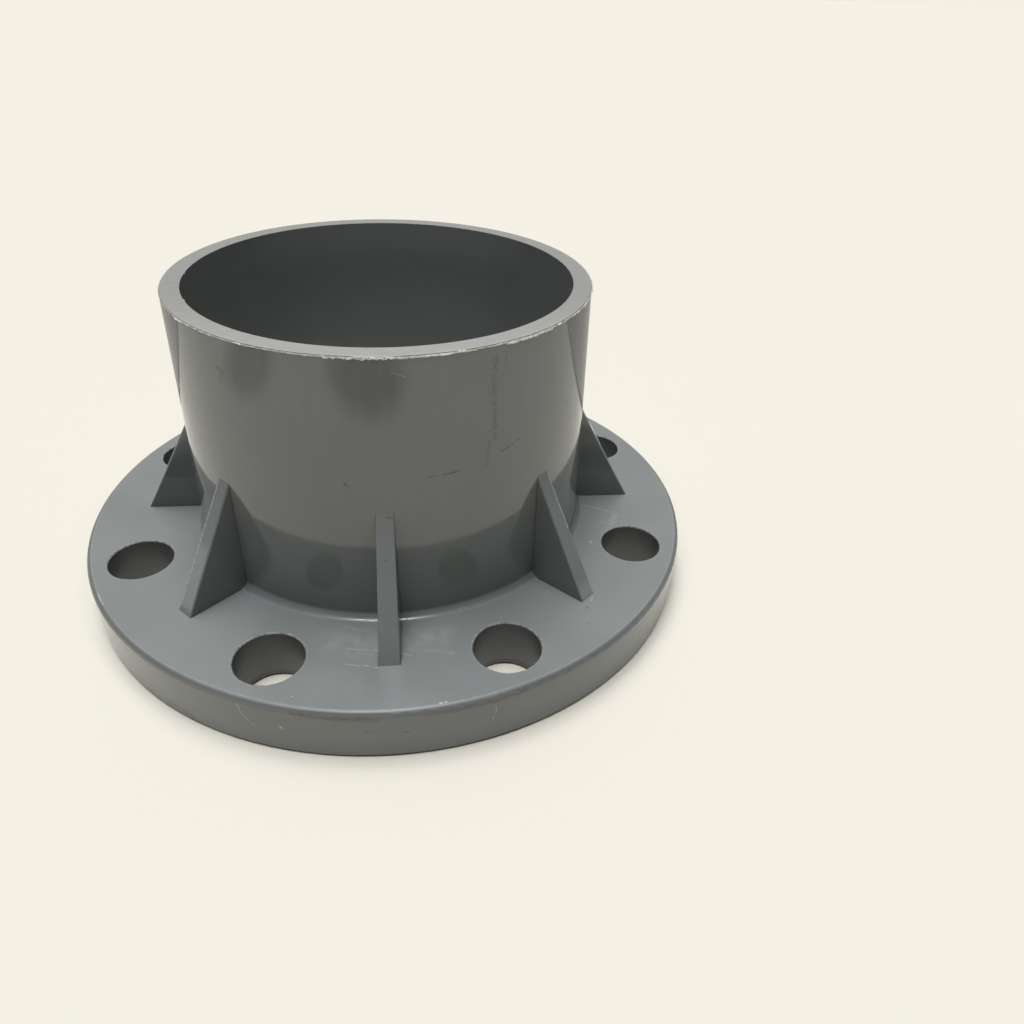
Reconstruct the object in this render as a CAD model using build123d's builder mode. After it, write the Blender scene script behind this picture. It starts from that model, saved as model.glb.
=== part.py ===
"""Socket flange for solvent-cemented plastic pipe, injection moulded in one piece.

A flat bolted ring carries a plain barrel that the pipe end is cemented into.
Triangular gusset ribs stiffen the corner between the two, one between each pair of bolt holes.
The origin is the centre of the sealing face, and +Z runs up the barrel to its mouth.
One rib lies on -Y. All sizes are in millimetres, draft angles in degrees.
"""

import os

from build123d import *

# Socket for the pipe end, a little wider at its mouth, and the ledge that stops the pipe
socket_diameter = 140.8
mouth_flare = 0.35
lead_in_depth = 12.0
ledge_thickness = 15.0
ledge_width = 6.4
ledge_corner_break = 1.0
waterway_edge_break = 1.0

# Barrel, with a thicker wall at its root so that it leaves the mould towards its mouth
overall_height = 119.0
wall_at_mouth = 6.75
wall_at_root = 9.1
barrel_root_fillet = 3.0
mouth_edge_break = 0.25

# Bolt holes, their centres set out from the barrel's root to leave room for nut and washer
bolt_count = 8
bolt_hole_diameter = 24.0
bolt_setting_out = 25.5
hole_edge_break = 0.4

# Bolted ring, with a margin of material outside the bolt holes
ring_thickness = 20.0
ring_margin = 7.0
ring_top_edge_radius = 2.0
ring_bottom_edge_break = 0.4

# Gusset ribs, their foot measured from the barrel's root and their rise from the ring
rib_rise = 44.6
rib_foot = 23.9
rib_root_thickness = 7.3
rib_draft = 1.0
rib_edge_radius = 0.6
first_rib_angle = -90.0

# Diameters, heights and radii that follow from the sizes above
socket_mouth_diameter = socket_diameter + 2 * mouth_flare
waterway_diameter = socket_diameter - 2 * ledge_width
barrel_mouth_diameter = socket_mouth_diameter + 2 * wall_at_mouth
barrel_root_diameter = socket_diameter + 2 * wall_at_root
bolt_circle_diameter = barrel_root_diameter + 2 * bolt_setting_out
ring_diameter = bolt_circle_diameter + bolt_hole_diameter + 2 * ring_margin
barrel_height = overall_height - ring_thickness
barrel_draft_per_mm = (barrel_root_diameter - barrel_mouth_diameter) / 2 / barrel_height
rib_top = ring_thickness + rib_rise
rib_toe = barrel_root_diameter / 2 + rib_foot
rib_pitch = 360 / bolt_count
barrel_radius_at_rib_top = barrel_root_diameter / 2 - barrel_draft_per_mm * rib_rise
# Ribs start in the middle of the barrel's wall, so that they fuse with it
rib_inner_end = (barrel_mouth_diameter + socket_diameter) / 4


def corner(sketch, radius, height):
    """The profile corner nearest to a given radius and height."""
    return sketch.vertices().sort_by_distance((radius, height))[0]


# One rib: a drafted plate on the ring, cut to a triangle by its sloping crest
with BuildPart() as rib:
    with BuildSketch(Plane.XY.offset(ring_thickness)):
        with Locations(((rib_inner_end + rib_toe) / 2, 0)):
            Rectangle(rib_toe - rib_inner_end, rib_root_thickness)
    extrude(amount=rib_rise, taper=rib_draft)
    with BuildSketch(Plane.XZ):
        with BuildLine():
            Polyline(
                (rib_inner_end, ring_thickness),
                (rib_toe, ring_thickness),
                (barrel_radius_at_rib_top, rib_top),
                (rib_inner_end, rib_top),
                close=True,
            )
        make_face()
    extrude(amount=rib_root_thickness, both=True, mode=Mode.INTERSECT)
    crest = rib.faces().filter_by(lambda face: face.normal_at().X > 0 and face.normal_at().Z > 0)[0]
    fillet(crest.edges().sort_by(SortBy.LENGTH)[-2:], radius=rib_edge_radius)


with BuildPart() as socket_flange:
    # Half section of the ring, barrel and socket, turned about the axis
    with BuildSketch(Plane.XZ) as section:
        with BuildLine():
            Polyline(
                (waterway_diameter / 2, 0),
                (ring_diameter / 2, 0),
                (ring_diameter / 2, ring_thickness),
                (barrel_root_diameter / 2, ring_thickness),
                (barrel_mouth_diameter / 2, overall_height),
                (socket_mouth_diameter / 2, overall_height),
                (socket_diameter / 2, overall_height - lead_in_depth),
                (socket_diameter / 2, ledge_thickness),
                (waterway_diameter / 2, ledge_thickness),
                close=True,
            )
        make_face()
        fillet(corner(section, ring_diameter / 2, ring_thickness), radius=ring_top_edge_radius)
        fillet(corner(section, barrel_root_diameter / 2, ring_thickness), radius=barrel_root_fillet)
        chamfer(corner(section, socket_diameter / 2, ledge_thickness), length=ledge_corner_break)
        chamfer(corner(section, ring_diameter / 2, 0), length=ring_bottom_edge_break)
        chamfer(corner(section, waterway_diameter / 2, 0), length=waterway_edge_break)
        chamfer(corner(section, barrel_mouth_diameter / 2, overall_height), length=mouth_edge_break)
    revolve(axis=Axis.Z)

    with PolarLocations(0, bolt_count, start_angle=first_rib_angle):
        add(rib.part)

    with PolarLocations(bolt_circle_diameter / 2, bolt_count, start_angle=first_rib_angle + rib_pitch / 2):
        Hole(bolt_hole_diameter / 2)
    circles = socket_flange.edges().filter_by(GeomType.CIRCLE)
    hole_rims = circles.filter_by(lambda edge: abs(2 * edge.radius - bolt_hole_diameter) < 0.01)
    chamfer(hole_rims, length=hole_edge_break)

socket_flange.part.label = "socket_flange"

os.makedirs("parts", exist_ok=True)
export_step(socket_flange.part, "parts/socket_flange.step")
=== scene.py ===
import math
from collections import namedtuple

import bpy
from mathutils import Matrix, Vector


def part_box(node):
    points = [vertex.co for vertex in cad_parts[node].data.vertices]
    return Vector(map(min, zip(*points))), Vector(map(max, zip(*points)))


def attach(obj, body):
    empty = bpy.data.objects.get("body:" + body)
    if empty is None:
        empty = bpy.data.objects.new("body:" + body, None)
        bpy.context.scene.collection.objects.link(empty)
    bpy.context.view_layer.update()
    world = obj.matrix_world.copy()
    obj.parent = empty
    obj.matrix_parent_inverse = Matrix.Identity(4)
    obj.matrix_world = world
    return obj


bl_info = {
    "name": "Socket flange",
    "version": (1, 0, 0),
    "blender": (4, 5, 0),
    "location": "3D View > Sidebar > Socket flange",
    "description": "Finishes a moulded plastic socket flange: worn surface, sawn mouth, burrs and studio",
    "category": "Object",
}

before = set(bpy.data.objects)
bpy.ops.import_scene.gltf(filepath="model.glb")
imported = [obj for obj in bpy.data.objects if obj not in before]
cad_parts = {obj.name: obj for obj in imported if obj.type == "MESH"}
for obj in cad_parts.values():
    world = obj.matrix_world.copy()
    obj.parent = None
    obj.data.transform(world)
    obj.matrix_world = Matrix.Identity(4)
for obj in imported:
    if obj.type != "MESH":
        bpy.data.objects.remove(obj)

FLANGE = "socket_flange"
BODY = "root"
MM = 0.001

# The part's surfaces, in millimetres. The ring's and the whole part's reach come from the part's mesh in model.glb.
LOW, HIGH = (Vector(corner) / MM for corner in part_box(FLANGE))
RING_RADIUS = HIGH.y
MOUTH_HEIGHT = HIGH.z
RING_TOP = 20.0
RING_EDGE_ROUND = 2.0
BARREL_FOOT_ROUND = 3.0
BARREL_ROOT_RADIUS = 79.5
MOUTH_OUTER_RADIUS = 77.5
MOUTH_INNER_RADIUS = 70.75
RIB_TOE_RADIUS = 103.4
RIB_TOP = 64.6
RIB_HALF_THICKNESS = 3.65
BOLT_CIRCLE_RADIUS = 105.0
BOLT_HOLE_RADIUS = 12.0
FRONT_RIB_ANGLE = -90.0
RIB_PITCH = 45.0

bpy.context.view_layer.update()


# Places on the surfaces, by angle about the axis (-90 degrees is the front) in degrees and millimetres


def around(radius, angle, height):
    return Vector((radius * math.cos(math.radians(angle)), radius * math.sin(math.radians(angle)), height))


def on_ring(angle, radius):
    return around(radius, angle, RING_TOP)


def on_ring_side(angle, height):
    return around(RING_RADIUS, angle, height)


def on_barrel(angle, height):
    rise = (height - RING_TOP) / (MOUTH_HEIGHT - RING_TOP)
    return around(BARREL_ROOT_RADIUS + rise * (MOUTH_OUTER_RADIUS - BARREL_ROOT_RADIUS), angle, height)


def on_mouth(angle, radius):
    return around(radius, angle, MOUTH_HEIGHT)


def on_crest(angle, share, across=0.0):
    """A place on a rib's crest: share 0 is at its toe and 1 at its top, across is sideways."""
    start = around(RIB_TOE_RADIUS, angle, RING_TOP)
    end = on_barrel(angle, RIB_TOP)
    sideways = around(1.0, angle + 90, 0.0)
    return start.lerp(end, share) + sideways * across


# Wear and dirt, with some painted shadows and highlights: each mark is a line of some width between two places
Mark = namedtuple("Mark", "start end width")

DARK_MARKS = (
    Mark(on_barrel(-59.3, 115.0), on_barrel(-59.4, 112.8), 0.7),
    Mark(on_barrel(-60.2, 81.0), on_barrel(-57.6, 82.0), 0.8),
    Mark(on_barrel(-56.8, 82.2), on_barrel(-54.6, 83.6), 0.7),
    Mark(on_barrel(-29.0, 93.6), on_barrel(-34.5, 86.5), 0.7),
    Mark(on_barrel(-80.3, 77.2), on_barrel(-76.5, 77.4), 0.5),
    Mark(on_barrel(-76.0, 77.4), on_barrel(-71.9, 77.6), 0.7),
    Mark(on_barrel(-129.2, 108.6), on_barrel(-127.8, 107.0), 0.8),
    Mark(on_barrel(-98.9, 75.8), on_barrel(-98.1, 75.2), 0.9),
    Mark(on_crest(-90, 0.98, 0.6), on_crest(-90, 0.97, 2.0), 0.9),
    Mark(on_crest(-90, 0.70, -0.2), on_crest(-90, 0.70, 0.0), 0.7),
    Mark(on_ring(-89.0, 104.8), on_ring(-88.8, 104.8), 0.6),
    Mark(on_ring(-47.7, 106.4), on_ring(-47.4, 106.5), 0.7),
    Mark(on_ring(-51.1, 112.4), on_ring(-50.9, 112.6), 0.7),
    Mark(on_ring_side(-93.5, 11.9), on_ring_side(-86.8, 10.9), 0.45),
    Mark(on_ring_side(-128.0, 3.4), on_ring_side(-122.4, 1.4), 1.2),
    # Painted shadows of the burrs along the mouth's outer edge, at the far left
    Mark(on_mouth(143.0, MOUTH_OUTER_RADIUS - 0.3), on_mouth(137.0, MOUTH_OUTER_RADIUS - 0.3), 0.5),
    Mark(on_mouth(134.0, MOUTH_OUTER_RADIUS - 0.3), on_mouth(129.0, MOUTH_OUTER_RADIUS - 0.3), 0.7),
    Mark(on_mouth(127.0, MOUTH_OUTER_RADIUS - 0.3), on_mouth(121.0, MOUTH_OUTER_RADIUS - 0.3), 0.6),
    Mark(on_mouth(118.5, MOUTH_OUTER_RADIUS - 0.3), on_mouth(113.0, MOUTH_OUTER_RADIUS - 0.3), 0.6),
    Mark(on_mouth(110.5, MOUTH_OUTER_RADIUS - 0.3), on_mouth(107.0, MOUTH_OUTER_RADIUS - 0.3), 0.4),
)

SMUDGES = (
    Mark(on_barrel(-62.1, 114.0), on_barrel(-62.5, 100.0), 2.4),
    Mark(on_barrel(-62.4, 100.0), on_barrel(-61.8, 86.0), 1.8),
    Mark(on_barrel(-63.5, 86.0), on_barrel(-64.2, 78.0), 1.5),
    Mark(on_barrel(-127.5, 108.0), on_barrel(-129.0, 104.0), 1.5),
    Mark(on_ring_side(-127.0, 3.0), on_ring_side(-121.5, 1.2), 2.4),
)

DIRT_LINES = (
    Mark(on_ring_side(-104.0, 18.0), on_ring_side(-98.0, 17.6), 1.8),
    Mark(on_ring_side(-98.0, 17.6), on_ring_side(-91.6, 17.6), 2.2),
    Mark(on_ring_side(-84.5, 17.7), on_ring_side(-81.0, 17.6), 1.0),
    Mark(on_ring_side(-80.8, 17.7), on_ring_side(-75.0, 17.6), 1.4),
    Mark(on_ring_side(-75.0, 17.6), on_ring_side(-69.0, 17.8), 1.4),
    Mark(on_ring_side(-110.5, 18.4), on_ring_side(-107.0, 18.2), 0.5),
    Mark(on_ring_side(-72.5, 0.5), on_ring_side(-62.0, 0.4), 0.6),
    Mark(on_ring_side(-139.0, 0.6), on_ring_side(-130.0, 0.8), 0.8),
    Mark(on_ring_side(-129.5, 0.8), on_ring_side(-121.0, 0.6), 1.0),
)

LIGHT_MARKS = (
    # Painted highlights: thin light lines along the outer edges of two ribs' crests
    Mark(on_crest(-135, 0.04, -2.95), on_crest(-135, 0.97, -2.25), 0.45),
    Mark(on_crest(-45, 0.55, 2.6), on_crest(-45, 0.96, 2.25), 0.5),
    Mark(on_ring(-99.6, 95.3), on_ring(-95.5, 95.8), 0.35),
    Mark(on_ring(-95.2, 95.4), on_ring(-92.1, 96.2), 0.35),
    Mark(on_ring(-98.6, 102.6), on_ring(-95.4, 103.2), 0.35),
    Mark(on_ring(-95.2, 102.8), on_ring(-92.0, 104.2), 0.35),
    Mark(on_ring(-88.0, 97.7), on_ring(-85.6, 99.6), 0.35),
    Mark(on_ring(-102.0, 84.6), on_ring(-98.4, 85.4), 0.3),
    Mark(on_ring(-7.9, 83.0), on_ring(-10.6, 96.5), 0.5),
    Mark(on_ring(-15.4, 90.5), on_ring(-16.4, 94.5), 0.45),
    Mark(on_ring(-26.0, 89.3), on_ring(-25.3, 89.5), 1.1),
    Mark(on_ring(-44.2, 104.6), on_ring(-45.8, 105.2), 0.4),
    Mark(on_ring(-104.9, 118.6), on_ring(-104.7, 118.8), 0.7),
    Mark(on_ring_side(-112.8, 17.5), on_ring_side(-112.2, 13.0), 0.28),
    Mark(on_ring_side(-112.2, 13.0), on_ring_side(-110.3, 8.6), 0.22),
    Mark(on_ring_side(-74.3, 9.0), on_ring_side(-73.7, 13.4), 0.22),
    Mark(on_ring_side(-73.7, 13.4), on_ring_side(-73.9, 15.8), 0.22),
    Mark(on_ring_side(-106.3, 11.5), on_ring_side(-105.9, 10.5), 0.8),
    Mark(on_ring(-150.8, 122.4), on_ring(-147.4, 122.4), 0.6),
)

# Rubbed patches with soft edges
HAZES = (
    Mark(on_ring(-98.6, 85.8), on_ring(-95.6, 86.4), 2.2),
    Mark(on_ring(-86.0, 96.0), on_ring(-78.0, 101.0), 2.0),
    Mark(on_barrel(-86.5, 114.0), on_barrel(-83.5, 112.4), 0.35),
    Mark(on_ring(-101.0, 92.0), on_ring(-98.5, 88.0), 1.6),
    Mark(on_ring(-12.0, 97.0), on_ring(-20.0, 95.0), 2.5),
    # These two broadest patches beside the front rib are rubbed haze and also painted light on the ring
    Mark(on_ring(-102.0, 92.5), on_ring(-94.0, 93.0), 11.0),
    Mark(on_ring(-86.0, 92.0), on_ring(-79.0, 91.0), 9.0),
)

# Studio lamps: sideways lean and height above the front in degrees, share of the light, and softness
Lamp = namedtuple("Lamp", "name lean height share softness")

LAMPS = (
    Lamp("strip_front", -4, 74, 0.16, 18),
    Lamp("strip_near", -4, 85, 0.26, 22),
    Lamp("strip_far", -4, 97, 0.26, 24),
    Lamp("strip_back", -4, 110, 0.16, 24),
    Lamp("tube_left", -25, 78, 0.05, 7),
    Lamp("tube_middle", 0, 78, 0.05, 7),
    Lamp("tube_right", 25, 78, 0.05, 7),
)


# Shades on the table in front: place and half size in millimetres, and brightness
SHADES = (
    ("shade_middle", -45, -345, 140, 85, 0.1),
    ("shade_left", -312, -165, 75, 120, 0.35),
)


def display(red, green, blue):
    """A colour given as 0 to 255 display values, in the linear values that shaders take."""

    def channel(value):
        value /= 255
        return value / 12.92 if value <= 0.04045 else ((value + 0.055) / 1.055) ** 2.4

    return (channel(red), channel(green), channel(blue), 1.0)


# Node trees


class Wiring:
    """A node tree under construction. Inputs are given as sockets to link or as plain values."""

    def __init__(self, tree):
        self.tree = tree

    def feed(self, socket, value):
        if isinstance(value, bpy.types.NodeSocket):
            self.tree.links.new(value, socket)
        elif value is not None:
            socket.default_value = value

    def add(self, kind, inputs=None, **settings):
        node = self.tree.nodes.new(kind)
        for key, value in settings.items():
            setattr(node, key, value)
        for key, value in (inputs or {}).items():
            self.feed(node.inputs[key], value)
        return node

    def math(self, operation, *values, clamp=False):
        node = self.add("ShaderNodeMath", operation=operation, use_clamp=clamp)
        for socket, value in zip(node.inputs, values):
            self.feed(socket, value)
        return node.outputs[0]

    def vector(self, operation, *values):
        node = self.add("ShaderNodeVectorMath", operation=operation)
        sockets = [socket for socket in node.inputs if socket.enabled]
        for socket, value in zip(sockets, values):
            self.feed(socket, value)
        scalar = operation in {"DOT_PRODUCT", "LENGTH", "DISTANCE"}
        return node.outputs["Value" if scalar else "Vector"]

    def scaled(self, vector, scale):
        return self.add("ShaderNodeVectorMath", {0: vector, "Scale": scale}, operation="SCALE").outputs[0]

    def near(self, value, middle, reach):
        """1 where the value is at the middle, fading to 0 at the reach on both sides."""
        return self.ramp(self.math("ABSOLUTE", self.math("SUBTRACT", value, middle)), reach, 0.0)

    def all(self, *masks):
        result = masks[0]
        for mask in masks[1:]:
            result = self.math("MULTIPLY", result, mask)
        return result

    def ramp(self, value, low, high, start=0.0, end=1.0, smooth=True):
        """Start to end as the value goes from low to high, and held beyond."""
        kind = "SMOOTHSTEP" if smooth else "LINEAR"
        inputs = {"Value": value, "From Min": low, "From Max": high, "To Min": start, "To Max": end}
        return self.add("ShaderNodeMapRange", inputs, interpolation_type=kind).outputs["Result"]

    def noise(self, place, scale, detail=2.0, roughness=0.5):
        inputs = {"Vector": place, "Scale": scale, "Detail": detail, "Roughness": roughness}
        return self.add("ShaderNodeTexNoise", inputs).outputs["Fac"]

    def mix(self, factor, first, second, blend="MIX"):
        node = self.add("ShaderNodeMix", data_type="RGBA", blend_type=blend)
        self.feed(node.inputs["Factor"], factor)
        for socket, value in zip((s for s in node.inputs if s.type == "RGBA"), (first, second)):
            self.feed(socket, value)
        return next(socket for socket in node.outputs if socket.type == "RGBA")

    def most(self, *values):
        result = values[0]
        for value in values[1:]:
            result = self.math("MAXIMUM", result, value)
        return result


SOCKET_KINDS = {
    "value": "NodeSocketFloat",
    "whole": "NodeSocketInt",
    "vector": "NodeSocketVector",
    "colour": "NodeSocketColor",
    "geometry": "NodeSocketGeometry",
    "material": "NodeSocketMaterial",
}


def open_group(kind, name, inputs, outputs):
    """A new node group with named sockets, as its wiring, its inputs and its output node."""
    tree = bpy.data.node_groups.new(name, kind)
    for label, socket_kind in inputs.items():
        tree.interface.new_socket(label, in_out="INPUT", socket_type=SOCKET_KINDS[socket_kind])
    for label, socket_kind in outputs.items():
        tree.interface.new_socket(label, in_out="OUTPUT", socket_type=SOCKET_KINDS[socket_kind])
    wiring = Wiring(tree)
    return wiring, wiring.add("NodeGroupInput").outputs, wiring.add("NodeGroupOutput")


def place_group():
    """Where a point is on the part, in millimetres, and which way its surface truly faces."""
    outputs = {
        "Place": "vector",
        "Radius": "value",
        "Height": "value",
        "Rise": "value",
        "Facing": "vector",
        "Across rib": "value",
        "From hole": "value",
    }
    w, _, out = open_group("ShaderNodeTree", "place_on_flange", {}, outputs)
    place = w.scaled(w.add("ShaderNodeTexCoord").outputs["Object"], 1 / MM)
    flat = w.vector("MULTIPLY", place, (1.0, 1.0, 0.0))
    radius = w.vector("LENGTH", flat)
    x, y, height = w.add("ShaderNodeSeparateXYZ", {0: place}).outputs
    angle = w.math("ARCTAN2", y, x)

    def folded(middle):
        """Along and across the nearest rib or hole, whose middle angles repeat by the rib pitch."""
        half = math.radians(RIB_PITCH / 2)
        turn = w.math("WRAP", w.math("SUBTRACT", angle, math.radians(middle)), half, -half)
        return w.math("MULTIPLY", radius, w.math("COSINE", turn)), w.math("MULTIPLY", radius, w.math("SINE", turn))

    across_rib = w.math("ABSOLUTE", folded(FRONT_RIB_ANGLE)[1])
    along_hole, across_hole = folded(FRONT_RIB_ANGLE + RIB_PITCH / 2)
    hole_x = w.math("SUBTRACT", along_hole, BOLT_CIRCLE_RADIUS)
    from_hole = w.vector("LENGTH", w.add("ShaderNodeCombineXYZ", {"X": hole_x, "Y": across_hole}).outputs[0])

    # The narrow round edges have long thin facets, so their normals are worked out from their middles
    outward = w.vector("NORMALIZE", flat)
    facing = w.add("ShaderNodeNewGeometry").outputs["Normal"]

    def rounded(facing, middle_radius, middle_height, reach, sign):
        side = w.math("MULTIPLY", w.math("SUBTRACT", radius, middle_radius), sign)
        rise = w.math("MULTIPLY", w.math("SUBTRACT", height, middle_height), sign)
        lift = w.add("ShaderNodeCombineXYZ", {"Z": rise}).outputs[0]
        arrow = w.vector("ADD", w.scaled(outward, side), lift)
        off = w.math("ABSOLUTE", w.math("SUBTRACT", w.vector("LENGTH", arrow), reach))
        inside = w.math("MULTIPLY", w.math("GREATER_THAN", side, 0.0), w.math("GREATER_THAN", rise, 0.0))
        chosen = w.add("ShaderNodeMix", data_type="VECTOR")
        w.feed(chosen.inputs["Factor"], w.math("MULTIPLY", inside, w.math("LESS_THAN", off, 0.2)))
        w.feed(chosen.inputs[4], facing)
        w.feed(chosen.inputs[5], w.vector("NORMALIZE", arrow))
        return chosen.outputs[1]

    edge, foot = RING_EDGE_ROUND, BARREL_FOOT_ROUND
    facing = rounded(facing, RING_RADIUS - edge, RING_TOP - edge, edge, 1.0)
    facing = rounded(facing, BARREL_ROOT_RADIUS - 0.06 + foot, RING_TOP + foot, foot, -1.0)

    w.feed(out.inputs["Place"], place)
    w.feed(out.inputs["Radius"], radius)
    w.feed(out.inputs["Height"], height)
    w.feed(out.inputs["Facing"], facing)
    w.feed(out.inputs["Rise"], w.add("ShaderNodeSeparateXYZ", {0: facing}).outputs["Z"])
    w.feed(out.inputs["Across rib"], across_rib)
    w.feed(out.inputs["From hole"], from_hole)
    return w.tree


def line_mark_group():
    """A line from a start along a direction, softened at its sides and broken up by a ragged value."""
    inputs = {
        "Place": "vector",
        "Start": "vector",
        "Direction": "vector",
        "Length": "value",
        "Width": "value",
        "Ragged": "value",
    }
    w, given, out = open_group("ShaderNodeTree", "line_mark", inputs, {"Mask": "value"})
    from_start = w.vector("SUBTRACT", given["Place"], given["Start"])
    along = w.vector("DOT_PRODUCT", from_start, given["Direction"])
    held = w.add("ShaderNodeClamp", {"Value": along, "Min": 0.0, "Max": given["Length"]}).outputs[0]
    distance = w.vector("DISTANCE", from_start, w.scaled(given["Direction"], held))
    reach = w.math("MULTIPLY", given["Width"], given["Ragged"])
    w.feed(out.inputs["Mask"], w.ramp(distance, reach, 0.0))
    return w.tree


def grain_group():
    """Fine unevenness of plastic: a height for bump and a slow mottle, both about 0 to 1."""
    inputs = {"Place": "vector", "Grain size": "value", "Mottle size": "value"}
    w, given, out = open_group("ShaderNodeTree", "plastic_grain", inputs, {"Height": "value", "Mottle": "value"})
    grain_scale = w.math("DIVIDE", 1.0, given["Grain size"])
    mottle_scale = w.math("DIVIDE", 1.0, given["Mottle size"])
    w.feed(out.inputs["Height"], w.noise(given["Place"], grain_scale, detail=2.0))
    w.feed(out.inputs["Mottle"], w.noise(given["Place"], mottle_scale, detail=4.0, roughness=0.6))
    return w.tree


def use_group(w, tree, **inputs):
    node = w.add("ShaderNodeGroup", node_tree=tree)
    for name, value in inputs.items():
        w.feed(node.inputs[name.replace("_", " ")], value)
    return node


def marks_mask(w, group, place, ragged, marks):
    """The masks of several line marks, as one."""
    masks = []
    for mark in marks:
        span = mark.end - mark.start
        node = use_group(w, group, Place=place, Ragged=ragged)
        node.inputs["Start"].default_value = mark.start
        node.inputs["Direction"].default_value = span.normalized()
        node.inputs["Length"].default_value = span.length
        node.inputs["Width"].default_value = mark.width
        masks.append(node.outputs["Mask"])
    return w.most(*masks)


def new_material(name):
    material = bpy.data.materials.new(name)
    material.use_nodes = True
    material.node_tree.nodes.clear()
    return material, Wiring(material.node_tree)


def show(w, shader):
    w.feed(w.add("ShaderNodeOutputMaterial").inputs["Surface"], shader.outputs[0])


def moulded_material(settings):
    """Glossy moulded grey, dusty on top, sawn pale at the mouth, with its scuffs and dirt."""
    material, w = new_material("grey_upvc_moulded")
    spot = use_group(w, place_group()).outputs
    place, radius, height, rise = spot["Place"], spot["Radius"], spot["Height"], spot["Rise"]
    inputs = {"Place": place, "Grain_size": settings.grain_size, "Mottle_size": settings.mottle_size}
    grain = use_group(w, grain_group(), **inputs).outputs
    ragged = w.ramp(w.noise(place, 0.9, detail=3.0, roughness=0.7), 0.38, 0.62, 0.1, 1.0)
    streaky = w.vector("MULTIPLY", place, (1.6, 1.6, 0.5))
    broken = w.ramp(w.noise(streaky, 1.0, detail=4.0, roughness=0.75), 0.4, 0.62)

    # The whole body is a little mottled, and rubbed in faint upright strokes up the barrel
    strokes = w.noise(w.vector("MULTIPLY", place, (0.35, 0.35, 0.03)), 1.0, detail=3.0, roughness=0.6)
    upright = w.math("LESS_THAN", w.math("ABSOLUTE", rise), 0.3)
    upward = w.math("GREATER_THAN", rise, 0.12)
    rubbed = w.all(upright, w.ramp(height, 30.0, 90.0), w.ramp(strokes, 0.5, 0.72))
    shade = w.ramp(grain["Mottle"], 0.25, 0.75, 0.95, 1.04, smooth=False)
    mottled = w.add("ShaderNodeCombineColor", {0: shade, 1: shade, 2: shade}).outputs[0]
    colour = w.mix(1.0, tuple(settings.body_colour), mottled, "MULTIPLY")
    colour = w.mix(w.math("MULTIPLY", rubbed, 0.07), colour, tuple(settings.dust_and_light_colour))

    # Dust and fine scratches lighten the faces that look up, least beside the barrel
    flat = w.ramp(rise, 0.86, 0.995)
    crest = w.math("MULTIPLY", w.near(rise, 0.47, 0.25), 0.75)
    outer = w.ramp(radius, BARREL_ROOT_RADIUS, RIB_TOE_RADIUS, 0.88, 1.0)
    patches = w.ramp(grain["Mottle"], 0.3, 0.7, 0.8, 1.0)
    dust = w.all(w.most(flat, crest), outer, patches, settings.dust)
    colour = w.mix(dust, colour, tuple(settings.dust_and_light_colour))

    # The mouth's face is sawn: rough and pale, whiter in front, with faint strokes of the blade across it
    sawn = w.all(w.math("GREATER_THAN", height, MOUTH_HEIGHT - 0.1), w.math("GREATER_THAN", rise, 0.9))
    blade = w.noise(w.vector("MULTIPLY", place, (0.12, 2.2, 1.0)), 1.0, detail=3.0, roughness=0.65)
    front = w.ramp(w.add("ShaderNodeSeparateXYZ", {0: place}).outputs["Y"], -20.0, -75.0)
    paleness = w.math("ADD", w.ramp(blade, 0.3, 0.7, 0.0, 0.5), w.math("MULTIPLY", front, 0.5))
    torn = w.all(w.ramp(radius, MOUTH_OUTER_RADIUS - 1.3, MOUTH_OUTER_RADIUS - 0.3), front, ragged)
    sawn_colour = w.mix(paleness, tuple(settings.sawn_dark), tuple(settings.sawn_colour))
    sawn_colour = w.mix(w.math("MULTIPLY", torn, 0.6), sawn_colour, tuple(settings.scuff_and_highlight_colour))
    colour = w.mix(sawn, colour, sawn_colour)

    # The bolt holes are drilled, so their walls are duller; painted shade also darkens the walls, and a painted
    # highlight lightens their rims
    below = w.math("LESS_THAN", height, RING_TOP - 0.5)
    bore = w.all(w.math("LESS_THAN", spot["From hole"], BOLT_HOLE_RADIUS + 0.2), below, upright)
    rim = w.all(w.near(spot["From hole"], BOLT_HOLE_RADIUS + 0.2, 0.7), w.near(height, RING_TOP - 0.2, 0.6), ragged)
    colour = w.mix(w.math("MULTIPLY", bore, 0.55), colour, tuple(settings.painted_shade_colour))
    colour = w.mix(w.math("MULTIPLY", rim, 0.7), colour, tuple(settings.scuff_and_highlight_colour))
    hole_foot = w.all(bore, w.near(height, 1.5, 0.9))
    colour = w.mix(w.math("MULTIPLY", hole_foot, 0.9), colour, tuple(settings.dirt_colour))

    # Painted shade darkens the sharp corners beside the ribs and a band along the ring's rounded edge
    half = w.ramp(height, RING_TOP, RIB_TOP, RIB_HALF_THICKNESS, RIB_HALF_THICKNESS - 0.78, smooth=False)
    beside = w.near(w.math("SUBTRACT", spot["Across rib"], half), 0.1, 0.4)
    barrel = w.ramp(height, RING_TOP, MOUTH_HEIGHT, BARREL_ROOT_RADIUS, MOUTH_OUTER_RADIUS, smooth=False)
    upper = w.all(w.near(w.math("SUBTRACT", radius, barrel), 0.0, 0.6), w.math("LESS_THAN", height, RIB_TOP))
    lower = w.all(w.near(height, RING_TOP, 0.6), w.math("LESS_THAN", radius, RIB_TOE_RADIUS + 0.2))
    corner = w.math("MULTIPLY", beside, w.most(upper, lower))
    band = w.all(w.ramp(radius, RING_RADIUS - 2.0, RING_RADIUS - 1.3), w.ramp(height, 17.4, 18.8))
    painted_shade = w.most(w.math("MULTIPLY", corner, 0.7), w.math("MULTIPLY", band, 0.3))
    colour = w.mix(painted_shade, colour, tuple(settings.painted_shade_colour))
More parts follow.
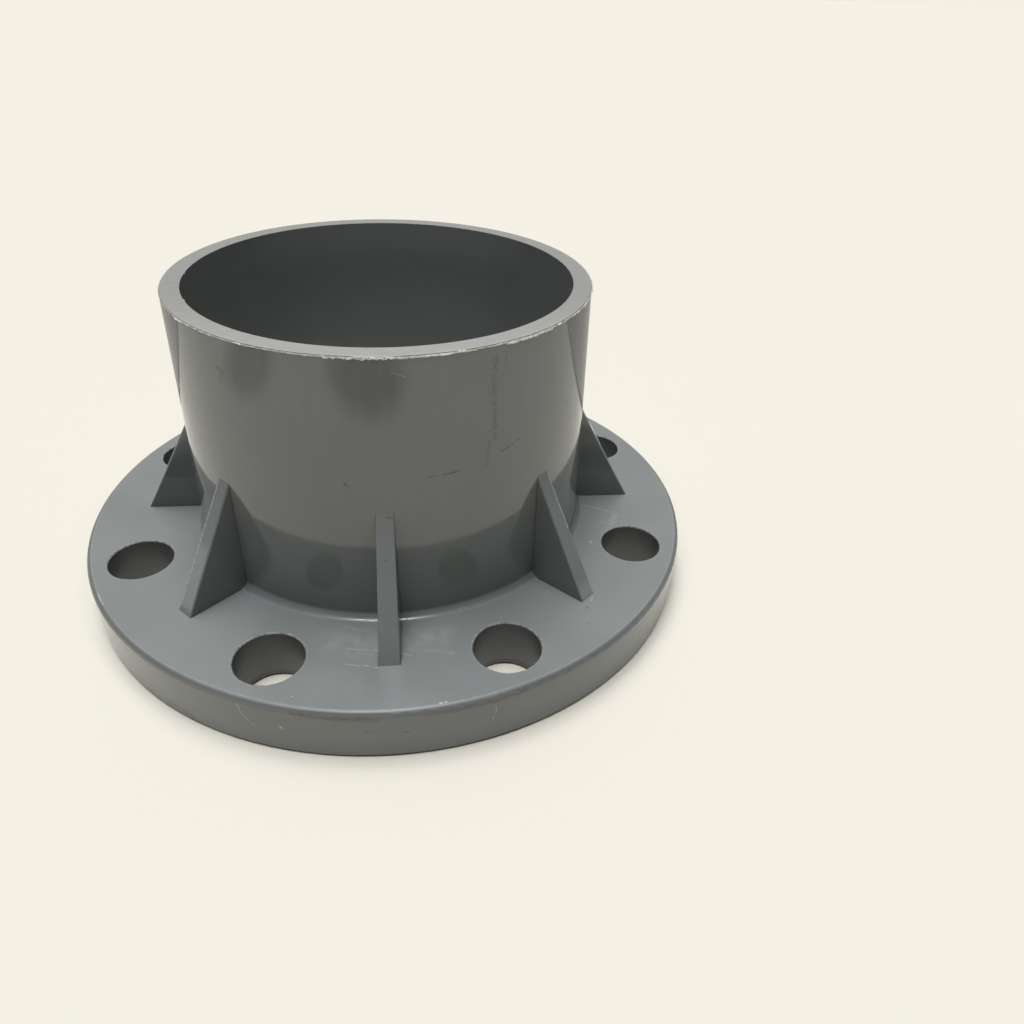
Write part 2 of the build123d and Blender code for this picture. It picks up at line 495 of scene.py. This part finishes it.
    # Painted highlight: a thin light line on the ring's top where its rounded edge starts
    edge_line = w.all(w.near(radius, RING_RADIUS - 1.8, 0.3), flat, ragged)
    colour = w.mix(w.math("MULTIPLY", edge_line, 0.3), colour, tuple(settings.scuff_and_highlight_colour))

    # Light falls deeper into the far side of the socket, just under its mouth
    back = w.ramp(w.add("ShaderNodeSeparateXYZ", {0: place}).outputs["Y"], 20.0, 68.0)
    socket = w.all(w.math("LESS_THAN", radius, MOUTH_INNER_RADIUS + 0.3), upright)
    lead = w.all(w.ramp(height, 98.0, 118.0, 0.45, 0.9), back)
    colour = w.mix(w.math("MULTIPLY", socket, w.most(lead, 0.3)), colour, tuple(settings.dust_and_light_colour))

    line_mark = line_mark_group()
    dark = marks_mask(w, line_mark, place, ragged, DARK_MARKS)
    smudge = w.math("MULTIPLY", marks_mask(w, line_mark, place, 1.0, SMUDGES), broken)
    dirt = marks_mask(w, line_mark, place, ragged, DIRT_LINES)
    light = marks_mask(w, line_mark, place, ragged, LIGHT_MARKS)
    haze = w.math("MULTIPLY", marks_mask(w, line_mark, place, 1.0, HAZES), w.ramp(w.noise(place, 0.2), 0.3, 0.7, 0.3, 1.0))
    colour = w.mix(w.math("MULTIPLY", haze, 0.22), colour, tuple(settings.scuff_and_highlight_colour))
    colour = w.mix(w.most(w.math("MULTIPLY", dark, 0.75), w.math("MULTIPLY", smudge, 0.6)), colour, tuple(settings.scuff_and_shadow_dark))
    colour = w.mix(w.math("MULTIPLY", dirt, 0.8), colour, tuple(settings.dirt_colour))
    colour = w.mix(w.math("MULTIPLY", light, 0.6), colour, tuple(settings.scuff_and_highlight_colour))

    worn = w.ramp(grain["Mottle"], 0.3, 0.7, settings.roughness, settings.roughness * 1.5)
    worn = w.math("ADD", worn, w.math("MULTIPLY", rubbed, 0.04))
    dusty = w.math("MULTIPLY", flat, w.ramp(grain["Mottle"], 0.3, 0.7, 0.29, 0.36))
    foot = w.most(w.ramp(height, RING_TOP + 0.37, RING_TOP + 0.42), w.math("MULTIPLY", broken, 0.8))
    low = w.all(w.math("LESS_THAN", height, RING_TOP + BARREL_FOOT_ROUND), w.math("GREATER_THAN", height, RING_TOP + 0.02))
    foot = w.all(w.math("LESS_THAN", radius, BARREL_ROOT_RADIUS + BARREL_FOOT_ROUND), low, upward, foot)
    dusty = w.most(dusty, w.math("MULTIPLY", foot, 0.55))
    marked = w.math("MULTIPLY", w.most(dirt, light, band, bore), 0.4)
    worn = w.most(worn, dusty, w.math("MULTIPLY", sawn, 0.6), marked)
    relief = w.math("MULTIPLY", grain["Height"], w.math("ADD", 1.0, w.math("MULTIPLY", sawn, 6.0)))
    bump = w.add("ShaderNodeBump", {"Height": relief, "Normal": spot["Facing"]})
    bump.inputs["Strength"].default_value = 1.0
    bump.inputs["Distance"].default_value = settings.grain_height * MM

    shader = w.add("ShaderNodeBsdfPrincipled")
    shader.inputs["IOR"].default_value = settings.ior
    w.feed(shader.inputs["Base Color"], colour)
    w.feed(shader.inputs["Roughness"], worn)
    w.feed(shader.inputs["Normal"], bump.outputs[0])
    show(w, shader)
    return material


def burr_material(settings):
    """Torn, stretched plastic: whitish, matt and uneven."""
    material, w = new_material("torn_upvc")
    place = w.scaled(w.add("ShaderNodeTexCoord").outputs["Object"], 1 / MM)
    tree = bpy.data.node_groups["plastic_grain"]
    grain = use_group(w, tree, Place=place, Grain_size=0.3, Mottle_size=2.0).outputs
    shader = w.add("ShaderNodeBsdfPrincipled")
    colour = w.mix(w.ramp(grain["Mottle"], 0.35, 0.65), tuple(settings.burr_shade), tuple(settings.burr_colour))
    w.feed(shader.inputs["Base Color"], colour)
    w.feed(shader.inputs["Roughness"], w.ramp(grain["Height"], 0.3, 0.7, 0.45, 0.75))
    show(w, shader)
    return material


def keep_piece(name, mesh, material=None):
    """A finished piece of the flange that carries the given mesh."""
    mesh.name = name
    if material:
        mesh.materials.clear()
        mesh.materials.append(material)
    piece = bpy.data.objects.new(name, mesh)
    bpy.context.scene.collection.objects.link(piece)
    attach(piece, BODY)
    return piece


# Burrs


Burr = namedtuple("Burr", "name radius height start sweep reach drop thickness coverage clump seed")

OUTER_EDGE = MOUTH_OUTER_RADIUS
INNER_EDGE = MOUTH_INNER_RADIUS

MOUTH_BURRS = (
    Burr("outer", OUTER_EDGE, MOUTH_HEIGHT - 0.25, -180, 360, 0.2, 0.15, 0.17, 0.55, 1.5, 3),
    Burr("outer_front", OUTER_EDGE, MOUTH_HEIGHT - 0.36, -146, 130, 0.35, 0.4, 0.27, 0.52, 1.2, 11),
    Burr("outer_chips", OUTER_EDGE, MOUTH_HEIGHT - 0.45, -146, 130, 0.4, 0.6, 0.32, 0.34, 0.9, 31),
    Burr("outer_dense", OUTER_EDGE, MOUTH_HEIGHT - 0.48, -101, 18, 0.4, 0.7, 0.36, 0.70, 1.0, 5),
    Burr("outer_thin", OUTER_EDGE + 0.05, MOUTH_HEIGHT - 0.4, -85, 18, 0.2, 0.3, 0.30, 0.85, 2.4, 13),
    Burr("outer_right", OUTER_EDGE, MOUTH_HEIGHT - 0.5, -59, 15, 0.5, 0.7, 0.38, 0.78, 1.0, 8),
    Burr("outer_corner", OUTER_EDGE, MOUTH_HEIGHT - 0.45, -144.5, 4, 0.5, 0.4, 0.34, 0.85, 1.0, 9),
    Burr("far_right", OUTER_EDGE, MOUTH_HEIGHT - 0.43, -44, 52, 0.5, 0.4, 0.32, 0.62, 1.4, 14),
    Burr("inner", INNER_EDGE + 0.1, MOUTH_HEIGHT - 0.22, -180, 360, -0.2, 0.05, 0.15, 0.52, 1.6, 21),
    Burr("inner_left", INNER_EDGE + 0.15, MOUTH_HEIGHT - 0.33, -156, 2, -0.4, 0.0, 0.24, 0.85, 0.8, 17),
    Burr("inner_front", INNER_EDGE + 0.1, MOUTH_HEIGHT - 0.3, -126, 18, -0.35, 0.1, 0.22, 0.62, 1.0, 19),
)

RING_BURRS = (
    Burr("foot", RING_RADIUS - 0.45, 0.5, -61.0, 4.0, 0.15, -0.3, 0.28, 0.85, 1.0, 6),
    Burr("chip", RING_RADIUS - 2.2, RING_TOP - 0.15, -82.4, 1.2, 0.2, 0.05, 0.34, 0.95, 0.9, 2),
    Burr("nick_far", RING_RADIUS - 1.6, RING_TOP - 0.3, -148.2, 1.1, 0.1, 0.05, 0.26, 0.95, 0.9, 4),
    Burr("nick_near", RING_RADIUS - 1.8, RING_TOP - 0.25, -129.2, 0.9, 0.1, 0.05, 0.24, 0.95, 0.9, 7),
)

BURR_INPUTS = {
    "Radius": "value",
    "Height": "value",
    "Start": "value",
    "Sweep": "value",
    "Points": "whole",
    "Reach": "value",
    "Drop": "value",
    "Thickness": "value",
    "Coverage": "value",
    "Clump": "value",
    "Seed": "value",
    "Material": "material",
}


def burr_tree():
    """Ragged slivers along an arc: a thread that comes and goes, thickens and strays outward."""
    w, given, out = open_group("GeometryNodeTree", "ragged_edge", BURR_INPUTS, {"Geometry": "geometry"})
    w.tree.is_modifier = True
    arc = w.add("GeometryNodeCurveArc", mode="RADIUS")
    w.feed(arc.inputs["Resolution"], given["Points"])
    w.feed(arc.inputs["Radius"], given["Radius"])
    w.feed(arc.inputs["Start Angle"], given["Start"])
    w.feed(arc.inputs["Sweep Angle"], given["Sweep"])

    position = w.add("GeometryNodeInputPosition").outputs[0]
    scale = w.math("DIVIDE", 1.0, given["Clump"])

    def wander(offset, detail):
        inputs = {"Vector": position, "W": w.math("ADD", given["Seed"], offset), "Scale": scale, "Detail": detail}
        return w.add("ShaderNodeTexNoise", inputs, noise_dimensions="4D").outputs[0]

    presence = wander(0.0, 3.0)
    stray = wander(31.0, 5.0)
    threshold = w.ramp(given["Coverage"], 0.0, 1.0, 0.75, 0.25, smooth=False)
    above = w.ramp(presence, threshold, w.math("ADD", threshold, 0.16), smooth=False)

    outward = w.vector("NORMALIZE", position)
    reach = w.math("MULTIPLY", w.math("MULTIPLY", given["Reach"], above), w.ramp(stray, 0.3, 0.7, -0.4, 1.2, smooth=False))
    shift = w.scaled(outward, reach)
    fall = w.math("MULTIPLY", w.math("MULTIPLY", given["Drop"], above), w.ramp(stray, 0.3, 0.7, -1.0, 0.2, smooth=False))
    lift = w.add("ShaderNodeCombineXYZ", {"Z": w.math("ADD", given["Height"], fall)}).outputs[0]
    moved = w.add("GeometryNodeSetPosition", {"Geometry": arc.outputs["Curve"], "Offset": w.vector("ADD", shift, lift)})

    thickness = w.math("MULTIPLY", given["Thickness"], w.ramp(above, 0.0, 1.0, 0.12, 1.0, smooth=False))
    sized = w.add("GeometryNodeSetCurveRadius", {"Curve": moved.outputs[0], "Radius": thickness})
    gone = w.math("LESS_THAN", above, 0.02)
    broken = w.add("GeometryNodeDeleteGeometry", {"Geometry": sized.outputs[0], "Selection": gone}, domain="POINT")
    profile = w.add("GeometryNodeCurvePrimitiveCircle", {"Resolution": 5, "Radius": 1.0})
    scale = w.add("GeometryNodeInputRadius").outputs[0]
    inputs = {"Curve": broken.outputs[0], "Profile Curve": profile.outputs[0], "Scale": scale, "Fill Caps": True}
    tube = w.add("GeometryNodeCurveToMesh", inputs)
    whole = w.add("GeometryNodeRealizeInstances", {"Geometry": tube.outputs[0]})
    dressed = w.add("GeometryNodeSetMaterial", {"Geometry": whole.outputs[0], "Material": given["Material"]})
    w.feed(out.inputs["Geometry"], dressed.outputs[0])
    return w.tree


def grow_burrs(name, burrs, settings):
    """One piece that holds the given burrs, each grown by the ragged edge tree."""
    tree = bpy.data.node_groups.get("ragged_edge") or burr_tree()
    material = bpy.data.materials.get("torn_upvc") or burr_material(settings)
    keys = {item.name: item.identifier for item in tree.interface.items_tree if item.in_out == "INPUT"}
    meshes = []
    for burr in burrs:
        carrier = bpy.data.objects.new(f"{name}_{burr.name}", bpy.data.meshes.new(burr.name))
        bpy.context.scene.collection.objects.link(carrier)
        modifier = carrier.modifiers.new("ragged_edge", "NODES")
        modifier.node_group = tree
        length = math.radians(burr.sweep) * burr.radius
        values = {
            "Radius": burr.radius * MM,
            "Height": burr.height * MM,
            "Start": math.radians(burr.start),
            "Sweep": math.radians(min(burr.sweep, 359.9)),
            "Points": max(8, round(length / settings.burr_step)),
            "Reach": burr.reach * MM * settings.burr_size,
            "Drop": burr.drop * MM * settings.burr_size,
            "Thickness": burr.thickness * MM * settings.burr_size,
            "Coverage": burr.coverage,
            "Clump": burr.clump * MM,
            "Seed": float(burr.seed),
            "Material": material,
        }
        for key, value in values.items():
            modifier[keys[key]] = value
        evaluated = carrier.evaluated_get(bpy.context.evaluated_depsgraph_get())
        meshes.append(bpy.data.meshes.new_from_object(evaluated))
        bpy.data.objects.remove(carrier)
    return keep_piece(name, joined(meshes), material)


def joined(meshes):
    """The meshes as one, with faces that point outwards."""
    import bmesh

    shape = bmesh.new()
    for mesh in meshes:
        shape.from_mesh(mesh)
    if not shape.faces:
        raise RuntimeError("No burr grew: raise the coverage")
    bmesh.ops.recalc_face_normals(shape, faces=shape.faces)
    whole = bpy.data.meshes.new("joined")
    shape.to_mesh(whole)
    shape.free()
    whole.shade_smooth()
    return whole


# Studio


def card(name, corners, colour, strength, faded=False):
    """A flat emitting card that only reflections see, if faded with a soft round edge."""
    material, w = new_material(name)
    light = w.add("ShaderNodeEmission", {"Color": colour, "Strength": strength})
    if faded:
        middle = sum((Vector(corner) for corner in corners), Vector()) / 4
        reach = Vector(corners[2]) - middle
        place = w.vector("SUBTRACT", w.add("ShaderNodeTexCoord").outputs["Object"], middle)
        share = w.vector("DIVIDE", place, (reach.x, reach.y, 1.0))
        clear = w.add("ShaderNodeBsdfTransparent")
        soft = w.ramp(w.vector("LENGTH", share), 1.0, 0.45)
        light = w.add("ShaderNodeMixShader", {0: soft, 1: clear.outputs[0], 2: light.outputs[0]})
    show(w, light)
    mesh = bpy.data.meshes.new(name)
    mesh.from_pydata(corners, [], [(0, 1, 2, 3)])
    mesh.materials.append(material)
    thing = bpy.data.objects.new(name, mesh)
    bpy.context.scene.collection.objects.link(thing)
    thing.visible_camera = False
    thing.visible_diffuse = False
    thing.visible_shadow = False
    thing.visible_transmission = False
    return thing


def add_floor(settings):
    material, w = new_material("pale_table")
    show(w, w.add("ShaderNodeBsdfDiffuse", {"Color": tuple(settings.floor_colour)}))
    reach = 40.0
    level = -settings.floor_gap * MM
    corners = [(-reach, -reach, level), (reach, -reach, level), (reach, reach, level), (-reach, reach, level)]
    mesh = bpy.data.meshes.new("floor")
    mesh.from_pydata(corners, [], [(0, 1, 2, 3)])
    mesh.materials.append(material)
    floor = bpy.data.objects.new("floor", mesh)
    bpy.context.scene.collection.objects.link(floor)


def add_backdrop(settings):
    """The pale backdrop behind the part, seen in its gloss as slivers down the barrel's sides."""
    turn = math.radians(settings.backdrop_turn)
    across = Vector((math.cos(turn), math.sin(turn), 0.0))
    foot = Vector((-math.sin(turn), math.cos(turn), 0.0)) * settings.backdrop_distance * MM
    left, right = foot - 2 * across, foot + 2 * across
    up = Vector((0.0, 0.0, 2.0))
    colour = tuple(settings.backdrop_colour)
    card("backdrop", [left, right, right + up, left + up], colour, settings.backdrop_light)
    # A dimmer strip at the backdrop's foot is a painted shadow line, seen only in the gloss
    nearer = Vector((math.sin(turn), -math.cos(turn), 0.0)) * MM
    left, right, up = left + nearer, right + nearer, Vector((0.0, 0.0, settings.foot_height * MM))
    card("backdrop_foot", [left, right, right + up, left + up], colour, 0.35 * settings.backdrop_light)


def add_shades():
    """Dark soft cards on the table in front of the view, which the gloss of the barrel shows."""
    for name, x, y, across, deep, strength in SHADES:
        left, right, near, far = (value * MM for value in (x - across, x + across, y - deep, y + deep))
        corners = [(left, near, MM), (right, near, MM), (right, far, MM), (left, far, MM)]
        card(name, corners, (1.0, 1.0, 1.0, 1.0), strength, faded=True)


def add_lamps(settings):
    for lamp in LAMPS:
        lean, height = math.radians(lamp.lean), math.radians(lamp.height)
        towards = Vector(
            (math.sin(lean), -math.cos(height) * math.cos(lean), math.sin(height) * math.cos(lean))
        )
        light = bpy.data.lights.new(lamp.name, "SUN")
        light.angle = math.radians(lamp.softness)
        light.energy = math.pi * settings.lamp_light * lamp.share / towards.z
        thing = bpy.data.objects.new(lamp.name, light)
        thing.rotation_mode = "QUATERNION"
        thing.rotation_quaternion = towards.to_track_quat("Z", "Y")
        bpy.context.scene.collection.objects.link(thing)


def add_world(settings):
    """Dim surroundings, darker in front than behind, over a pale background."""
    world = bpy.data.worlds.new("studio")
    world.use_nodes = True
    world.node_tree.nodes.clear()
    w = Wiring(world.node_tree)
    direction = w.add("ShaderNodeTexCoord").outputs["Generated"]
    depth = w.add("ShaderNodeSeparateXYZ", {0: direction}).outputs["Y"]
    strength = w.ramp(depth, -0.4, 0.4, settings.front_light, settings.back_light, smooth=False)
    dim = w.add("ShaderNodeBackground", {"Color": (1.0, 1.0, 1.0, 1.0), "Strength": strength})
    pale = w.add("ShaderNodeBackground", {"Color": tuple(settings.background_colour), "Strength": 1.0})
    seen = w.add("ShaderNodeLightPath").outputs
    direct = w.most(seen["Is Camera Ray"], seen["Is Transmission Ray"])
    both = w.add("ShaderNodeMixShader", {0: direct, 1: dim.outputs[0], 2: pale.outputs[0]})
    w.feed(w.add("ShaderNodeOutputWorld").inputs["Surface"], both.outputs[0])
    bpy.context.scene.world = world


def add_camera(settings):
    camera = bpy.data.cameras.new("camera")
    camera.sensor_width = 36.0
    camera.lens = settings.lens
    camera.clip_start, camera.clip_end = 0.01, 200.0
    thing = bpy.data.objects.new("camera", camera)
    yaw, pitch, roll = (math.radians(angle) for angle in settings.camera_angles)
    forward = Vector((math.sin(yaw) * math.cos(pitch), math.cos(yaw) * math.cos(pitch), math.sin(pitch)))
    level = Vector((math.cos(yaw), -math.sin(yaw), 0.0))
    upright = level.cross(forward)
    right = level * math.cos(roll) + upright * math.sin(roll)
    up = upright * math.cos(roll) - level * math.sin(roll)
    pose = Matrix((right, up, -forward)).transposed().to_4x4()
    pose.translation = Vector(settings.camera_place) * MM
    thing.matrix_world = pose
    bpy.context.scene.collection.objects.link(thing)
    bpy.context.scene.camera = thing


# Settings


def colour_setting(name, description, red, green, blue):
    return bpy.props.FloatVectorProperty(
        name=name,
        description=description,
        subtype="COLOR",
        size=4,
        min=0.0,
        max=1.0,
        default=display(red, green, blue),
    )


class SocketFlangeFinish(bpy.types.PropertyGroup):
    """Colours and texture of the moulded plastic."""

    body_colour: colour_setting("Body", "Moulded grey plastic", 110, 114, 114)
    # Also the colour of the painted light deep in the socket
    dust_and_light_colour: colour_setting("Dust", "Dust and fine scratches on faces that look up", 137, 142, 142)
    sawn_colour: colour_setting("Sawn", "Pale strokes on the sawn mouth", 172, 171, 167)
    sawn_dark: colour_setting("Sawn, darker", "Darker strokes on the sawn mouth", 140, 141, 139)
    # Painted shade: this colour darkens the corners beside the ribs, the band along the ring's rounded edge and the
    # bolt holes' walls
    painted_shade_colour: colour_setting("Grime", "Grime along edges, in corners and in the holes", 82, 86, 86)
    dirt_colour: colour_setting("Dirt", "Brown dirt in fine lines", 86, 72, 50)
    # Also the colour of the painted burr shadows along the mouth's outer edge
    scuff_and_shadow_dark: colour_setting("Dark scuffs", "Rubbed-on dark marks", 62, 64, 62)
    # Also the colour of painted highlights: the bolt holes' rims, the line on the ring's rounded edge, the rib crests'
    # edges and the patches beside the front rib
    scuff_and_highlight_colour: colour_setting("Light scuffs", "Scratches that turned white", 200, 201, 196)
    roughness: bpy.props.FloatProperty(
        name="Roughness", description="Roughness of the cleanest gloss", min=0.0, max=1.0, default=0.06
    )
    ior: bpy.props.FloatProperty(
        name="Refraction", description="Index of refraction of the plastic", min=1.0, max=2.0, default=1.6
    )
    dust: bpy.props.FloatProperty(
        name="Dust", description="How much dust lies on the faces that look up", subtype="FACTOR",
        min=0.0, max=1.0, default=0.85
    )
    grain_size: bpy.props.FloatProperty(
        name="Grain size", description="Size of the fine grain in millimetres", min=0.1, default=1.2
    )
    grain_height: bpy.props.FloatProperty(
        name="Grain height", description="Height of the fine grain in millimetres", min=0.0, default=0.006
    )
    mottle_size: bpy.props.FloatProperty(
        name="Mottle size", description="Size of the slow colour patches in millimetres", min=1.0, default=26.0
    )


class SocketFlangeBurrs(bpy.types.PropertyGroup):
    """The torn slivers along sawn and chipped edges."""

    burr_colour: colour_setting("Burr", "Torn plastic, where it is whitest", 240, 238, 228)
    burr_shade: colour_setting("Burr, darker", "Torn plastic, where it is greyest", 184, 182, 172)
    burr_size: bpy.props.FloatProperty(
        name="Size", description="Scale of all burrs", min=0.0, max=3.0, default=1.0
    )
    burr_step: bpy.props.FloatProperty(
        name="Step", description="Length of one burr segment in millimetres", min=0.1, default=0.35
    )


class SocketFlangeStudio(bpy.types.PropertyGroup):
    """Floor, backdrop, lamps and camera."""

    floor_colour: colour_setting("Floor", "Pale table top", 236, 232, 221)
    background_colour: colour_setting("Background", "Pale background behind the floor", 243, 239, 228)
    backdrop_colour: colour_setting("Backdrop", "Backdrop as the gloss shows it", 255, 250, 240)
    floor_gap: bpy.props.FloatProperty(
        name="Floor gap", description="Air under the part's slightly uneven face, in millimetres", default=0.6
    )
    backdrop_light: bpy.props.FloatProperty(
        name="Backdrop light", description="Brightness of the backdrop in the gloss", min=0.0, default=0.5
    )
    foot_height: bpy.props.FloatProperty(
        name="Foot height", description="Height of the shadow line at the backdrop's foot, in millimetres", default=4.0
    )
    backdrop_distance: bpy.props.FloatProperty(
        name="Backdrop distance", description="From the axis, in millimetres", default=121.8
    )
    backdrop_turn: bpy.props.FloatProperty(
        name="Backdrop turn", description="Turn about the vertical, in degrees", default=-3.67
    )
    lamp_light: bpy.props.FloatProperty(
        name="Lamps", description="Light that falls on a level face", min=0.0, default=0.98
    )
    front_light: bpy.props.FloatProperty(
        name="Front", description="Brightness of the surroundings in front", min=0.0, default=0.03
    )
    back_light: bpy.props.FloatProperty(
        name="Back", description="Brightness of the surroundings behind", min=0.0, default=0.2
    )
    lens: bpy.props.FloatProperty(
        name="Lens", description="Focal length in millimetres", min=1.0, default=27.15
    )
    camera_place: bpy.props.FloatVectorProperty(
        name="Camera place", description="In millimetres", default=(14.81, -289.4, 209.8)
    )
    camera_angles: bpy.props.FloatVectorProperty(
        name="Camera angles", description="Yaw, pitch and roll in degrees", default=(7.37, -34.47, 2.57)
    )


# Operators


class SOCKETFLANGE_OT_finish(bpy.types.Operator):
    """Gives the flange its worn, moulded plastic surface"""

    bl_idname = "socket_flange.finish"
    bl_label = "Moulded finish"

    def execute(self, context):
        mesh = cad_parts[FLANGE].data
        mesh.materials.clear()
        mesh.materials.append(moulded_material(context.scene.socket_flange_finish))
        return {"FINISHED"}


class SOCKETFLANGE_OT_mouth_burrs(bpy.types.Operator):
    """Grows the burrs that the saw left along the mouth's edges"""

    bl_idname = "socket_flange.mouth_burrs"
    bl_label = "Mouth burrs"

    def execute(self, context):
        grow_burrs("mouth_burrs", MOUTH_BURRS, context.scene.socket_flange_burrs)
        return {"FINISHED"}


class SOCKETFLANGE_OT_ring_burrs(bpy.types.Operator):
    """Grows the chips and torn bits on the ring's edges"""

    bl_idname = "socket_flange.ring_burrs"
    bl_label = "Ring chips"

    def execute(self, context):
        grow_burrs("ring_chips", RING_BURRS, context.scene.socket_flange_burrs)
        return {"FINISHED"}


class SOCKETFLANGE_OT_studio(bpy.types.Operator):
    """Builds the floor, backdrop, lamps, surroundings and camera"""

    bl_idname = "socket_flange.studio"
    bl_label = "Studio"

    def execute(self, context):
        settings = context.scene.socket_flange_studio
        add_floor(settings)
        add_backdrop(settings)
        add_shades()
        add_lamps(settings)
        add_world(settings)
        add_camera(settings)
        context.scene.view_settings.view_transform = "Standard"
        return {"FINISHED"}


class SOCKETFLANGE_PT_panel(bpy.types.Panel):
    """Lists the steps that finish the flange"""

    bl_label = "Socket flange"
    bl_idname = "SOCKETFLANGE_PT_panel"
    bl_space_type = "VIEW_3D"
    bl_region_type = "UI"
    bl_category = "Socket flange"

    def draw(self, context):
        for operator in OPERATORS:
            self.layout.operator(operator.bl_idname)


GROUPS = {
    "socket_flange_finish": SocketFlangeFinish,
    "socket_flange_burrs": SocketFlangeBurrs,
    "socket_flange_studio": SocketFlangeStudio,
}

OPERATORS = (
    SOCKETFLANGE_OT_finish,
    SOCKETFLANGE_OT_mouth_burrs,
    SOCKETFLANGE_OT_ring_burrs,
    SOCKETFLANGE_OT_studio,
)


def register():
    for name, group in GROUPS.items():
        bpy.utils.register_class(group)
        setattr(bpy.types.Scene, name, bpy.props.PointerProperty(type=group))
    for operator in OPERATORS:
        bpy.utils.register_class(operator)
    bpy.utils.register_class(SOCKETFLANGE_PT_panel)


def unregister():
    bpy.utils.unregister_class(SOCKETFLANGE_PT_panel)
    for operator in reversed(OPERATORS):
        bpy.utils.unregister_class(operator)
    for name, group in GROUPS.items():
        delattr(bpy.types.Scene, name)
        bpy.utils.unregister_class(group)


def main():
    register()
    bpy.ops.socket_flange.finish()
    bpy.ops.socket_flange.mouth_burrs()
    bpy.ops.socket_flange.ring_burrs()
    bpy.ops.socket_flange.studio()


if __name__ == "__main__":
    main()
